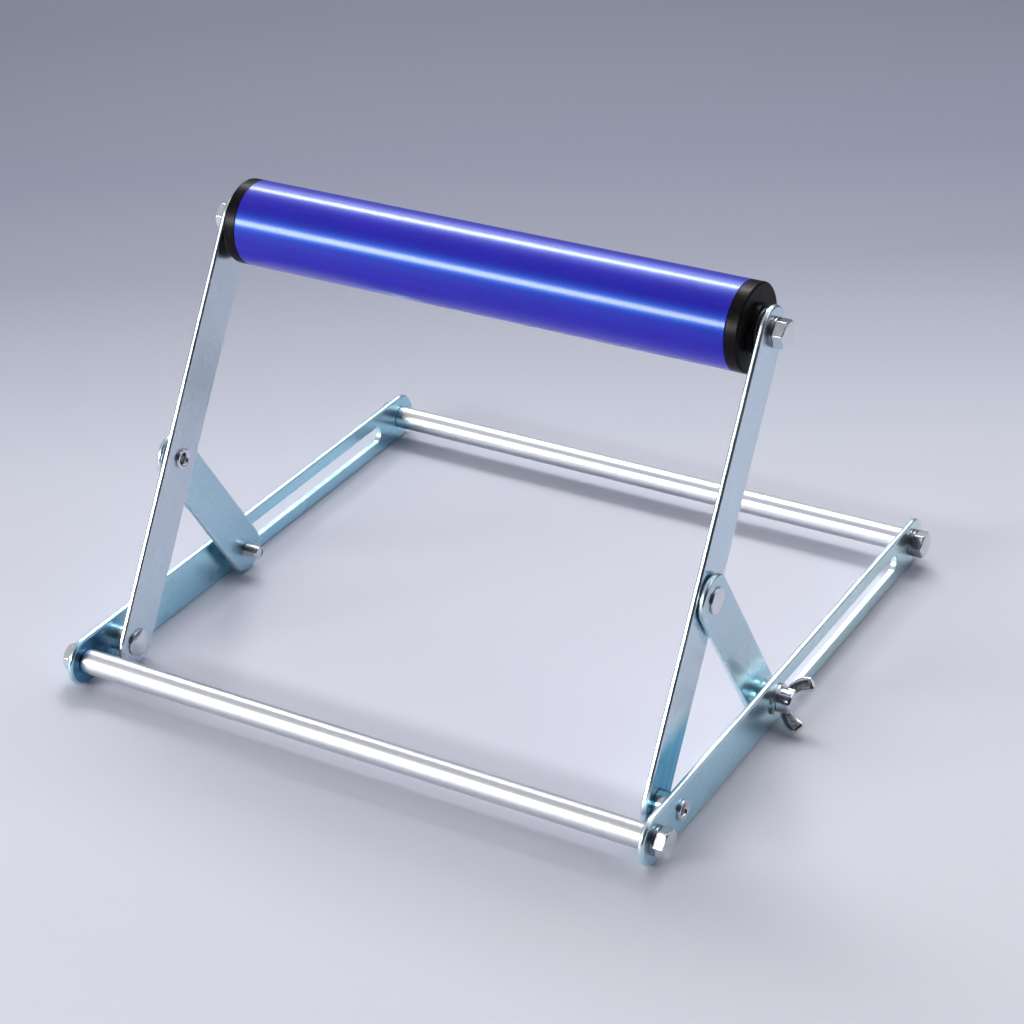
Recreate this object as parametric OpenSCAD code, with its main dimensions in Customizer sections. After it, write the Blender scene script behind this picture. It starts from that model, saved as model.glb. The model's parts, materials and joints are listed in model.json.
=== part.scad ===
// Folding roller stand: a flat base frame, two swinging arms with a roller between
// them, and two struts whose lower ends slide along slots in the base bars.
// X runs across the stand, Y from front to back, Z up; the base stands on z = 0.

/* [Base frame] */
// Width over the outer faces of the two base bars
base_w = 203; // [160:1:300]
// Length of each base bar
base_l = 200; // [190:1:260]
// Height of the base bars
bar_h = 16; // [14:0.5:22]
// Thickness of the base bars
bar_t = 2; // [1.5:0.1:4]
// Distance from each end of a bar to its cross rod
rod_setback = 8; // [7:0.5:10]
// Distance from a bar's front end to the arm pivot
pivot_setback = 24; // [23:0.5:32]
// Height of the long slot in each base bar
slot_w = 6; // [5.6:0.1:8]
// Distance from the slot's rear tip to the bar's rear end
slot_rear_margin = 21.5; // [18:0.5:40]

/* [Cross rods] */
// Diameter of the front and rear cross rods
rod_d = 8; // [7:0.5:12]
// Chamfer on the ends of the rods and of the roller axle
rod_chamfer = 0.4; // [0.1:0.1:0.8]
// Depth of the tapped holes in the rods and in the roller axle
tap_depth = 14; // [12:0.5:25]

/* [Arms] */
// Distance from the arm pivot to the roller axis
arm_reach = 138; // [120:1:146]
// Width of the arms
arm_w = 15.6; // [13:0.1:15.8]
// Thickness of the arms
arm_t = 2; // [1.5:0.1:4]
// Angle of the arms above the horizontal
arm_lean = 58; // [20:1:60]
// Steepest angle of the arms, where the screws meet the front of the slots
arm_lean_max = 60; // [60:1:66]

/* [Struts] */
// Distance from the arm pivot to the middle rivet, and from there to the wing screw
link_l = 60; // [50:0.5:66]
// Width of the struts
strut_w = 15.6; // [13:0.1:15.8]
// Thickness of the struts
strut_t = 2; // [1.5:0.1:4]
// Outer diameter of the tapped collar drawn up from the strut
collar_d = 9; // [7:0.5:12]

/* [Roller] */
// Outer diameter of the roller
roller_d = 27; // [22:0.5:32]
// Wall thickness of the roller tube
roller_wall = 1.5; // [1:0.1:2.5]
// Length of the end caps' rim outside the tube
cap_lip = 4.2; // [2:0.1:8]
// Length of the end caps' plug inside the tube
cap_plug = 12; // [8:0.5:25]
// Edge radius of the end caps' rim
cap_edge = 0.7; // [0.3:0.1:1.2]
// Diameter of the raised hub on the end caps
cap_hub_d = 15; // [13:0.5:18]
// Height of the raised hub on the end caps
cap_hub_h = 1.6; // [0.8:0.1:3]
// Diameter of the roller axle
axle_d = 8; // [7:0.5:9]
// Wall thickness of the axle bushes
bush_wall = 1.5; // [1:0.1:2]
// Diameter of the bushes' flange
bush_flange_d = 13; // [12:0.5:16]
// Thickness of the bushes' flange
bush_flange_t = 1; // [0.6:0.1:2]
// Free play between each bush and its arm
side_play = 0.6; // [0.3:0.1:1]

/* [Rivets and spacers] */
// Diameter of the rivets' shank
rivet_d = 5; // [4:0.1:6]
// Diameter of the hollow in the rivets' end
rivet_bore_d = 3.4; // [2.5:0.1:3.6]
// Depth of the hollow in the rivets' end
rivet_bore_depth = 4; // [2:0.1:6]
// Outer diameter of the rivets' rolled rim
rivet_rim_d = 6.6; // [6.4:0.1:7.2]
// Height of the rivets' rolled rim
rivet_rim_h = 1; // [0.6:0.1:1.2]
// Diameter of the pivot rivets' domed head
pivot_head_d = 9; // [7:0.5:12]
// Height of the pivot rivets' domed head
pivot_head_h = 1.8; // [1:0.1:2.2]
// Diameter of the middle rivets' low head
mid_head_d = 8; // [7:0.5:12]
// Height of the middle rivets' low head
mid_head_h = 1.1; // [0.8:0.1:2]
// Upright edge at the foot of each rivet head
head_edge = 0.6; // [0.2:0.1:0.7]
// Outer diameter of the pivot spacers
spacer_d = 8.5; // [7:0.5:12]
// Thickness of the thin washer between arm and strut
mid_washer_t = 0.4; // [0.3:0.1:1]
// Outer diameter of the thin washer between arm and strut
mid_washer_d = 10; // [8:0.5:12]

/* [Bolts] */
// Thread diameter of the bolts
bolt_d = 5; // [4:0.1:5.4]
// Width across the flats of the hexagon heads
bolt_af = 8; // [7:0.1:10]
// Height of the hexagon heads
bolt_head_h = 3.5; // [2.5:0.1:5]
// Length of bolt thread inside the rods and the axle
bolt_grip = 11; // [7:0.5:11]
// Outer diameter of the spring washers
spring_d = 9; // [8.4:0.1:11]
// Thickness of the spring washers
spring_t = 1.2; // [0.8:0.1:2]
// Width of the split in the spring washers
spring_split = 0.9; // [0.4:0.1:1.5]

/* [Wing screws] */
// Thread diameter of the wing screws
screw_d = 5; // [4:0.1:5.2]
// Length of thread standing out past the strut's inner face
screw_tip = 5; // [2:0.5:6]
// Outer diameter of the wing screws' flat washer
wing_washer_d = 10; // [9:0.5:13]
// Thickness of the wing screws' flat washer
wing_washer_t = 1; // [0.6:0.1:2]
// Diameter of the wing screws' boss
boss_d = 8; // [7:0.5:10]
// Height of the wing screws' boss
boss_h = 4.6; // [3:0.1:7]
// Span over the tips of the two wings
wing_span = 18.4; // [15:0.2:20]
// Distance from the foot of the boss to the wings' outer tips
wing_rise = 9.6; // [7:0.2:13]
// Thickness of the wings
wing_t = 2.4; // [1.5:0.1:3.5]
// Diameter of the wings' rounded tips
wing_tip_d = 4.4; // [3:0.1:6]
// Diameter of the wings' rounded roots inside the boss
wing_root_d = 4.2; // [2.5:0.1:4.4]
// Angle of the wings above the horizontal
wing_turn = 50; // [0:1:90]

/* [Clearances] */
// Clearance in diameter of bolts and wing screws in their plain holes
bolt_slack = 0.5; // [0.2:0.1:1]
// Clearance in diameter of threads in their tapped holes
thread_slack = 0.1; // [0.04:0.02:0.2]
// Clearance in radius of every turning fit
run_fit = 0.06; // [0.02:0.01:0.1]
// Clearance in radius of every pressed or riveted fit
press_fit = 0.02; // [0.01:0.01:0.05]
// Clearance along the axis between plates that turn against each other
face_play = 0.1; // [0.05:0.05:0.3]
// Free space between the middle rivet's head and the base bar
head_room = 1.9; // [0.5:0.1:4]
// Free space between the roller bolts and the base bars when folded
fold_room = 0.8; // [0.4:0.1:3]
// Free space between the strut's collar and the base bar
collar_room = 0.3; // [0.1:0.1:0.5]

/* [Hidden] */
$fn = 72;
left = -1;
right = 1;
hex_sides = 6;
// How far every cutting shape runs past the faces it cuts
overrun = 0.5;
// Slant of the split across the spring washers
split_slant = 25;
// Turns of the six bolt heads about their axes
bolt_turns = [8, 21, 14, 27, 11, 19];
zinc = [0.76, 0.82, 0.87];
bright_zinc = [0.86, 0.89, 0.92];
blue_paint = [0.12, 0.14, 0.75];
black_plastic = [0.05, 0.05, 0.055];
bush_plastic = [0.82, 0.81, 0.76];

// Stations across the stand, measured from its middle plane
bar_out_x = base_w / 2;
bar_in_x = bar_out_x - bar_t;
strut_stack = mid_washer_t + 2 * face_play + strut_t + mid_head_h + head_room;
bolt_stack = spring_t + bolt_head_h + fold_room;
arm_gap = max(strut_stack, bolt_stack);
arm_out_x = bar_in_x - arm_gap;
arm_in_x = arm_out_x - arm_t;
strut_in_x = arm_out_x + mid_washer_t + face_play;
strut_out_x = strut_in_x + strut_t;
bush_out_x = arm_in_x - side_play;
hub_out_x = bush_out_x - bush_flange_t;
cap_out_x = hub_out_x - cap_hub_h;
tube_end_x = cap_out_x - cap_lip;

// Places in the side view
axis_z = bar_h / 2;
front_y = -base_l / 2;
rear_y = base_l / 2;
rod_front_y = front_y + rod_setback;
rod_rear_y = rear_y - rod_setback;
pivot_y = front_y + pivot_setback;
middle_y = pivot_y + link_l * cos(arm_lean);
middle_z = axis_z + link_l * sin(arm_lean);
screw_y = pivot_y + 2 * link_l * cos(arm_lean);
slot_front_y = pivot_y + 2 * link_l * cos(arm_lean_max);
slot_rear_y = rear_y - slot_rear_margin - slot_w / 2;
roller_y = pivot_y + arm_reach * cos(arm_lean);
roller_z = axis_z + arm_reach * sin(arm_lean);

tube_in_d = roller_d - 2 * roller_wall;
bush_d = axle_d + 2 * run_fit + 2 * bush_wall;
tap_d = bolt_d + thread_slack;

// Stands a shape drawn along Z on an axis along X that passes through (y, z)
module on_axis(x, y, z) {
  translate([x, y, z]) rotate([90, 0, 90]) children();
}

// Draws the right-hand piece as it is and the left-hand one as its mirror image
module on_side(side) {
  if (side > 0) children();
  else mirror([1, 0, 0]) children();
}

// Cutting cylinder along X through whatever lies between two stations
module bore_x(from_x, to_x, y, z, d) {
  on_axis(from_x - overrun, y, z) cylinder(d = d, h = to_x - from_x + 2 * overrun);
}

// Outline of a flat link with full round ends about its two hole centres
module link_outline(reach, width) {
  translate([0, -width / 2]) square([reach, width]);
  circle(d = width);
  translate([reach, 0]) circle(d = width);
}

// Outline of a blade between two round ends, joined by straight tangents
module blade_outline(from, from_d, to, to_d) {
  run = to - from;
  along = atan2(run[1], run[0]);
  spread = acos((from_d - to_d) / 2 / norm(run));
  high = [cos(along + spread), sin(along + spread)];
  low = [cos(along - spread), sin(along - spread)];
  polygon([from + high * from_d / 2, to + high * to_d / 2, to + low * to_d / 2, from + low * from_d / 2]);
  translate(from) circle(d = from_d);
  translate(to) circle(d = to_d);
}

// Hexagon bolt with its head above z = 0 and its shank below
module hex_bolt(length, turn) {
  corner_r = bolt_af / 2 / cos(180 / hex_sides);
  rise = corner_r - bolt_af / 2;
  rotate([0, 0, turn]) intersection() {
    cylinder(r = corner_r, h = bolt_head_h, $fn = hex_sides);
    rotate_extrude() polygon([
      [0, 0],
      [corner_r, 0],
      [corner_r, bolt_head_h - rise],
      [bolt_af / 2, bolt_head_h],
      [0, bolt_head_h]
    ]);
  }
  translate([0, 0, -length]) cylinder(d = bolt_d, h = length);
}

// Split spring washer that lies on z = 0
module split_washer(turn) {
  rotate([0, 0, turn]) difference() {
    cylinder(d = spring_d, h = spring_t);
    translate([0, 0, -overrun]) cylinder(d = bolt_d + bolt_slack, h = spring_t + 2 * overrun);
    translate([spring_d / 2, 0, spring_t / 2]) rotate([split_slant, 0, 0])
      cube([spring_d, spring_split, 2 * spring_t + 2 * overrun], center = true);
  }
}

// Plain washer that lies on z = 0
module flat_washer(outer_d, inner_d, thickness) {
  difference() {
    cylinder(d = outer_d, h = thickness);
    translate([0, 0, -overrun]) cylinder(d = inner_d, h = thickness + 2 * overrun);
  }
}

// Tubular rivet: domed head below z = 0, plates from 0 to grip, rolled rim above
module tubular_rivet(head_d, head_h, grip) {
  dome_h = head_h - head_edge;
  dome_r = (head_d * head_d / 4 + dome_h * dome_h) / 2 / dome_h;
  difference() {
    union() {
      cylinder(d = rivet_d, h = grip + rivet_rim_h / 2);
      translate([0, 0, grip + rivet_rim_h / 2])
        rotate_extrude() translate([rivet_rim_d / 2 - rivet_rim_h / 2, 0]) circle(d = rivet_rim_h);
      mirror([0, 0, 1]) cylinder(d = head_d, h = head_edge);
      mirror([0, 0, 1]) translate([0, 0, head_edge]) intersection() {
        translate([0, 0, dome_h - dome_r]) sphere(r = dome_r);
        cylinder(d = head_d, h = head_h);
      }
    }
    translate([0, 0, grip + rivet_rim_h - rivet_bore_depth])
      cylinder(d = rivet_bore_d, h = rivet_bore_depth + overrun);
  }
}

// Round bar along X with chamfered, tapped ends
module tapped_bar(half_l, y, z, d) {
  difference() {
    on_axis(-half_l, y, z) rotate_extrude() polygon([
      [0, 0],
      [d / 2 - rod_chamfer, 0],
      [d / 2, rod_chamfer],
      [d / 2, 2 * half_l - rod_chamfer],
      [d / 2 - rod_chamfer, 2 * half_l],
      [0, 2 * half_l]
    ]);
    for (side = [left, right]) on_side(side)
      on_axis(half_l - tap_depth, y, z) cylinder(d = tap_d, h = tap_depth + overrun);
  }
}

module base_bar(side) {
  color(zinc) on_side(side) difference() {
    on_axis(bar_in_x, front_y + bar_h / 2, axis_z) linear_extrude(bar_t) link_outline(base_l - bar_h, bar_h);
    for (y = [rod_front_y, rod_rear_y]) bore_x(bar_in_x, bar_out_x, y, axis_z, bolt_d + bolt_slack);
    bore_x(bar_in_x, bar_out_x, pivot_y, axis_z, rivet_d + 2 * press_fit);
    on_axis(bar_in_x - overrun, slot_front_y, axis_z)
      linear_extrude(bar_t + 2 * overrun) link_outline(slot_rear_y - slot_front_y, slot_w);
  }
}

module cross_rod(y) {
  color(bright_zinc) tapped_bar(bar_in_x, y, axis_z, rod_d);
}

module base_bolt(side, y, turn) {
  color(bright_zinc) on_side(side) on_axis(bar_out_x + spring_t, y, axis_z)
    hex_bolt(spring_t + bar_t + bolt_grip, turn);
}

module base_spring_washer(side, y, turn) {
  color(zinc) on_side(side) on_axis(bar_out_x, y, axis_z) split_washer(turn);
}

module pivot_rivet(side) {
  color(bright_zinc) on_side(side) on_axis(arm_in_x - face_play, pivot_y, axis_z)
    tubular_rivet(pivot_head_d, pivot_head_h, bar_out_x - arm_in_x + face_play);
}

module pivot_spacer(side) {
  color(zinc) on_side(side) on_axis(arm_out_x + face_play, pivot_y, axis_z)
    flat_washer(spacer_d, rivet_d + 2 * press_fit, arm_gap - face_play);
}

module arm(side) {
  color(zinc) on_side(side) difference() {
    on_axis(arm_in_x, pivot_y, axis_z) rotate([0, 0, arm_lean])
      linear_extrude(arm_t) link_outline(arm_reach, arm_w);
    bore_x(arm_in_x, arm_out_x, pivot_y, axis_z, rivet_d + 2 * run_fit);
    bore_x(arm_in_x, arm_out_x, middle_y, middle_z, rivet_d + 2 * press_fit);
    bore_x(arm_in_x, arm_out_x, roller_y, roller_z, bolt_d + bolt_slack);
  }
}

module middle_rivet(side) {
  color(bright_zinc) on_side(side) on_axis(strut_out_x + face_play, middle_y, middle_z)
    mirror([0, 0, 1]) tubular_rivet(mid_head_d, mid_head_h, strut_out_x + face_play - arm_in_x);
}

module middle_washer(side) {
  color(zinc) on_side(side) on_axis(arm_out_x, middle_y, middle_z)
    flat_washer(mid_washer_d, rivet_d + 2 * press_fit, mid_washer_t);
}

module strut(side) {
  color(zinc) on_side(side) difference() {
    union() {
      on_axis(strut_in_x, middle_y, middle_z) rotate([0, 0, -arm_lean])
        linear_extrude(strut_t) link_outline(link_l, strut_w);
      on_axis(strut_out_x, screw_y, axis_z) cylinder(d = collar_d, h = bar_in_x - strut_out_x - collar_room);
    }
    bore_x(strut_in_x, strut_out_x, middle_y, middle_z, rivet_d + 2 * run_fit);
    bore_x(strut_in_x, bar_in_x, screw_y, axis_z, screw_d + thread_slack);
  }
}

module wing_screw(side) {
  shank_l = wing_washer_t + bar_out_x - strut_in_x + screw_tip;
  root = [0, wing_root_d / 2];
  tip = [wing_span / 2 - wing_tip_d / 2, wing_rise - wing_tip_d / 2];
  color(bright_zinc) on_side(side) on_axis(bar_out_x + wing_washer_t, screw_y, axis_z) {
    cylinder(d = boss_d, h = boss_h);
    translate([0, 0, -shank_l]) cylinder(d = screw_d, h = shank_l);
    for (half = [0, 180]) rotate([0, 0, wing_turn + half]) rotate([90, 0, 0])
      linear_extrude(wing_t, center = true) blade_outline(root, wing_root_d, tip, wing_tip_d);
  }
}

module wing_washer(side) {
  color(zinc) on_side(side) on_axis(bar_out_x, screw_y, axis_z)
    flat_washer(wing_washer_d, screw_d + bolt_slack, wing_washer_t);
}

module roller_tube() {
  color(blue_paint) difference() {
    on_axis(-tube_end_x, roller_y, roller_z) cylinder(d = roller_d, h = 2 * tube_end_x);
    bore_x(-tube_end_x, tube_end_x, roller_y, roller_z, tube_in_d);
  }
}

module roller_cap(side) {
  plug_r = tube_in_d / 2 - press_fit;
  rim_r = roller_d / 2;
  color(black_plastic) on_side(side) difference() {
    on_axis(tube_end_x, roller_y, roller_z) {
      translate([0, 0, -cap_plug]) cylinder(r = plug_r, h = cap_plug);
      rotate_extrude() union() {
        square([rim_r, cap_lip - cap_edge]);
        square([rim_r - cap_edge, cap_lip]);
        translate([rim_r - cap_edge, cap_lip - cap_edge]) circle(r = cap_edge);
      }
      cylinder(d = cap_hub_d, h = cap_lip + cap_hub_h);
    }
    bore_x(tube_end_x - cap_plug, hub_out_x, roller_y, roller_z, bush_d + 2 * press_fit);
  }
}

module roller_bush(side) {
  color(bush_plastic) on_side(side) difference() {
    on_axis(tube_end_x - cap_plug, roller_y, roller_z) {
      cylinder(d = bush_d, h = bush_out_x - tube_end_x + cap_plug);
      translate([0, 0, hub_out_x - tube_end_x + cap_plug]) cylinder(d = bush_flange_d, h = bush_flange_t);
    }
    bore_x(tube_end_x - cap_plug, bush_out_x, roller_y, roller_z, axle_d + 2 * run_fit);
  }
}

module roller_axle() {
  color(bright_zinc) tapped_bar(arm_in_x, roller_y, roller_z, axle_d);
}

module axle_bolt(side, turn) {
  color(bright_zinc) on_side(side) on_axis(arm_out_x + spring_t, roller_y, roller_z)
    hex_bolt(spring_t + arm_t + bolt_grip, turn);
}

module axle_spring_washer(side, turn) {
  color(zinc) on_side(side) on_axis(arm_out_x, roller_y, roller_z) split_washer(turn);
}

base_bar(left);  // base_bar_left
base_bar(right);  // base_bar_right
cross_rod(rod_front_y);  // front_cross_rod
cross_rod(rod_rear_y);  // rear_cross_rod
base_bolt(left, rod_front_y, bolt_turns[0]);  // base_bolt_front_left
base_bolt(right, rod_front_y, bolt_turns[1]);  // base_bolt_front_right
base_bolt(left, rod_rear_y, bolt_turns[2]);  // base_bolt_rear_left
base_bolt(right, rod_rear_y, bolt_turns[3]);  // base_bolt_rear_right
base_spring_washer(left, rod_front_y, bolt_turns[1]);  // spring_washer_front_left
base_spring_washer(right, rod_front_y, bolt_turns[2]);  // spring_washer_front_right
base_spring_washer(left, rod_rear_y, bolt_turns[3]);  // spring_washer_rear_left
base_spring_washer(right, rod_rear_y, bolt_turns[0]);  // spring_washer_rear_right
pivot_rivet(left);  // pivot_rivet_left
pivot_rivet(right);  // pivot_rivet_right
pivot_spacer(left);  // pivot_spacer_left
pivot_spacer(right);  // pivot_spacer_right
arm(left);  // arm_left
arm(right);  // arm_right
middle_rivet(left);  // middle_rivet_left
middle_rivet(right);  // middle_rivet_right
middle_washer(left);  // middle_washer_left
middle_washer(right);  // middle_washer_right
strut(left);  // strut_left
strut(right);  // strut_right
wing_screw(left);  // wing_screw_left
wing_screw(right);  // wing_screw_right
wing_washer(left);  // wing_washer_left
wing_washer(right);  // wing_washer_right
roller_tube();
roller_cap(left);  // roller_cap_left
roller_cap(right);  // roller_cap_right
roller_bush(left);  // roller_bush_left
roller_bush(right);  // roller_bush_right
roller_axle();
axle_bolt(left, bolt_turns[4]);  // axle_bolt_left
axle_bolt(right, bolt_turns[5]);  // axle_bolt_right
axle_spring_washer(left, bolt_turns[0]);  // axle_spring_washer_left
axle_spring_washer(right, bolt_turns[1]);  // axle_spring_washer_right
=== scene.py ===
import json
import math

import bmesh
import bpy
from mathutils import Matrix, Vector

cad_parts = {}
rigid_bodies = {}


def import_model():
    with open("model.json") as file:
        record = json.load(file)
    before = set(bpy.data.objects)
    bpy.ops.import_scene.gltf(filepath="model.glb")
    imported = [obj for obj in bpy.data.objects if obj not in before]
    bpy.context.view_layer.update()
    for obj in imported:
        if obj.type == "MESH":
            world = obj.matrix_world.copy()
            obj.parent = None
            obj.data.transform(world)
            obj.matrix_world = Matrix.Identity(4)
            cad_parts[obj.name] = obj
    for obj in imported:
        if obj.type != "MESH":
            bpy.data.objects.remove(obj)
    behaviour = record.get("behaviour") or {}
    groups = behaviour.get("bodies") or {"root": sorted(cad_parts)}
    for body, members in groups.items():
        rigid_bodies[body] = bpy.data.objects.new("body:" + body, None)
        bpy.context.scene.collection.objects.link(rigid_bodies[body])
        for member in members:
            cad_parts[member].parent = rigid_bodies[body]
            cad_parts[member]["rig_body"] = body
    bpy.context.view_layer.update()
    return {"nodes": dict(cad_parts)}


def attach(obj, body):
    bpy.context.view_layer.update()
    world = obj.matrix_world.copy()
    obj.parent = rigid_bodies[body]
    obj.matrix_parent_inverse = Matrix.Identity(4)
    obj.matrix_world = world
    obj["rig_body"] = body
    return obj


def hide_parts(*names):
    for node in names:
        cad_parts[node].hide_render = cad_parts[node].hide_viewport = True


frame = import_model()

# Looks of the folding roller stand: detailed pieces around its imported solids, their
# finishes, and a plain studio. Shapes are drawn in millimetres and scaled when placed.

MM = 0.001
LEFT = -1
RIGHT = 1
SIDES = (("left", LEFT), ("right", RIGHT))
FULL_TURN = 2 * math.pi
VERT = bmesh.types.BMVert
EDGE = bmesh.types.BMEdge

# Stations across the stand, from its middle plane outwards
BAR_OUT = 101.5
BAR_IN = 99.5
ARM_OUT = 93.9
ARM_IN = 91.9
STRUT_IN = 94.4
STRUT_OUT = 96.4
TUBE_END = 84.5

# Places in the side view
AXIS_Z = 8.0
ROD_Y = 92.0
PIVOT_Y = -76.0
LEAN = math.radians(58)
LINK = 60.0
ARM_REACH = 138.0
MIDDLE = (PIVOT_Y + LINK * math.cos(LEAN), AXIS_Z + LINK * math.sin(LEAN))
SCREW_Y = PIVOT_Y + 2 * LINK * math.cos(LEAN)
ROLLER = (PIVOT_Y + ARM_REACH * math.cos(LEAN), AXIS_Z + ARM_REACH * math.sin(LEAN))

# Flat strip: its thickness, its widths, and how far its edges are rounded
PLATE_T = 2.0
BAR_H = 16.0
LINK_W = 15.6
ROLLED_EDGE = 0.86
PUNCHED_EDGE = 0.25

# Radius of each kind of hole, and the long slot from and to a place on the bar
BOLT_HOLE_R = 2.75
PRESSED_HOLE_R = 2.52
TURNING_HOLE_R = 2.56
TAPPED_HOLE_R = 2.55
SLOT = (76.0, 167.5, 3.0)

# Metric thread of every bolt and wing screw
THREAD_R = 2.5
THREAD_ROOT = 2.02
THREAD_PITCH = 0.8
TIP_R = 1.8

# Free play between parts that turn on each other
PLAY = 0.1


# ---- Drawing helpers ----------------------------------------------------------------

def outward(side, x, y, z):
    """Stands a shape drawn along Z on an axis along X, pointing away from the middle"""
    turned = Matrix(((0, 0, side), (side, 0, 0), (0, 1, 0))).to_4x4()
    return Matrix.Translation((side * x, y, z)) @ turned


def leaning(side, x, y, z, lean):
    """Stands a strip drawn along X in the side view at its angle, its thickness outwards"""
    along = Vector((0, math.cos(lean), math.sin(lean)))
    out = Vector((side, 0, 0))
    turned = Matrix((along, out.cross(along), out)).transposed().to_4x4()
    return Matrix.Translation((side * x, y, z)) @ turned


def only(geom, kind):
    """Picks the points or the edges out of what an operator gives back"""
    return [g for g in geom if isinstance(g, kind)]


def edges_at(verts):
    """Every edge that meets one of the points"""
    return list({e for v in verts for e in v.link_edges})


def sweep(bm, geom, angle, steps, centre=(0, 0, 0), climb=0.0, merge=False):
    """Sweeps points and edges round an upright axis, climbing a little at each step"""
    return bmesh.ops.spin(
        bm, geom=geom, cent=centre, axis=(0, 0, 1), dvec=(0, 0, climb), angle=angle,
        steps=steps, use_merge=merge, use_normal_flip=False, use_duplicate=False,
    )


def turn(bm, angle, axis="Z"):
    """Turns a drawn shape about one of its own axes"""
    bmesh.ops.rotate(
        bm, cent=(0, 0, 0), matrix=Matrix.Rotation(angle, 3, axis), verts=bm.verts,
    )


def turn_in_view(bm, side, degrees):
    """Turns a shape by an angle of the side view, which the left side sees mirrored"""
    turn(bm, math.radians(degrees if side > 0 else 180 - degrees))


def close_ends(bm):
    """Fills the open ends of a shape and turns its faces outwards"""
    bmesh.ops.holes_fill(bm, edges=[e for e in bm.edges if e.is_boundary], sides=0)
    bmesh.ops.recalc_face_normals(bm, faces=bm.faces)


def revolve(bm, outline, steps=96, closed=False):
    """Turns (radius, height) points about Z into a closed solid"""
    verts = [bm.verts.new((r, 0, z)) for r, z in outline]
    edges = [bm.edges.new(pair) for pair in zip(verts, verts[1:])]
    if closed:
        edges.append(bm.edges.new((verts[-1], verts[0])))
    sweep(bm, verts + edges, FULL_TURN, steps, merge=True)
    bmesh.ops.remove_doubles(bm, verts=bm.verts, dist=1e-4)
    bmesh.ops.recalc_face_normals(bm, faces=bm.faces)


def soften(bm, radius, segments=3, sharper_than=38):
    """Rounds every edge that is sharper than the given angle"""
    limit = math.radians(sharper_than)
    edges = [e for e in bm.edges if e.is_manifold and e.calc_face_angle(0) > limit]
    bmesh.ops.bevel(
        bm, geom=edges, offset=radius, offset_type="OFFSET", segments=segments,
        profile=0.5, affect="EDGES", clamp_overlap=True, material=-1,
    )


def arc(centre, radius, start, end, steps):
    """Points of an arc in an outline; angles in degrees from the outline's radial axis"""
    turns = [math.radians(start + (end - start) * k / steps) for k in range(steps + 1)]
    return [(centre[0] + radius * math.cos(t), centre[1] + radius * math.sin(t))
            for t in turns]


def rim_ring(bm, reach_from, reach_to, radius):
    """Edge loop of a round-ended slot or strip between two centres on the X axis"""
    if reach_to == reach_from:
        place = Matrix.Translation((reach_from, 0, 0))
        circle = bmesh.ops.create_circle(bm, segments=64, radius=radius, matrix=place)
        return edges_at(circle["verts"])
    halves = []
    for centre, start in ((reach_to, -1), (reach_from, 1)):
        first = bm.verts.new((centre, start * radius, 0))
        swept = sweep(bm, [first], math.pi, 36, centre=(centre, 0, 0))
        halves.append((first, only(swept["geom_last"], VERT)[0]))
    bm.edges.new((halves[0][1], halves[1][0]))
    bm.edges.new((halves[1][1], halves[0][0]))
    loop = []
    seen = set()
    waiting = [halves[0][0]]
    while waiting:
        vert = waiting.pop()
        for e in vert.link_edges:
            if e not in seen:
                seen.add(e)
                loop.append(e)
                waiting.append(e.other_vert(vert))
    return loop


def rim_section(edge):
    """Steps (outwards, upwards) over a rounded rim from the lower face to the upper"""
    turns = [math.radians(90 * k / 6) for k in range(7)]
    up = [(edge * math.sin(t), edge * (1 - math.cos(t))) for t in turns]
    down = [(edge * math.cos(t), PLATE_T - edge + edge * math.sin(t)) for t in turns]
    return up + down


def strip(bm, length, width, holes, inset=0.0):
    """Flat strip with full round ends and rolled edges; holes are (from, to, radius)"""
    rim = bm.faces.layers.float.new("rim")
    low_edges = []
    high_edges = []
    rims = [(inset, length - inset, width / 2, 1, ROLLED_EDGE)]
    rims += [(start, end, radius, -1, PUNCHED_EDGE) for start, end, radius in holes]
    for start, end, radius, way, rounding in rims:
        section = rim_section(rounding)
        ring = rim_ring(bm, start, end, radius - way * rounding)
        low_edges += ring
        for before, step in zip(section, section[1:]):
            swept = bmesh.ops.extrude_edge_only(bm, edges=ring)["geom"]
            verts = only(swept, VERT)
            moved = set(verts)
            ring = [e for e in only(swept, EDGE) if all(v in moved for v in e.verts)]
            grow = way * (step[0] - before[0])
            for v in verts:
                centre = Vector((min(max(v.co.x, start), end), 0, v.co.z))
                v.co += (v.co - centre).normalized() * grow
                v.co.z += step[1] - before[1]
        high_edges += ring
    rim_faces = set(bm.faces)
    for edges, way in ((low_edges, -1), (high_edges, 1)):
        bmesh.ops.triangle_fill(
            bm, use_beauty=True, use_dissolve=False, edges=edges, normal=(0, 0, way),
        )
    flats = [f for f in bm.faces if f not in rim_faces]
    inner = [e for e in bm.edges if len(e.link_faces) == 2
             and not any(f in rim_faces for f in e.link_faces)]
    for f in rim_faces:
        f[rim] = 1.0
    bmesh.ops.dissolve_limit(
        bm, angle_limit=0.01, use_dissolve_boundaries=False,
        verts=list({v for f in flats for v in f.verts}), edges=inner, delimit=set(),
    )
    bmesh.ops.recalc_face_normals(bm, faces=bm.faces)


def join(bm, other):
    """Adds another drawn shape to this one"""
    spare = bpy.data.meshes.new("spare")
    other.to_mesh(spare)
    other.free()
    bm.from_mesh(spare)
    bpy.data.meshes.remove(spare)


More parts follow.
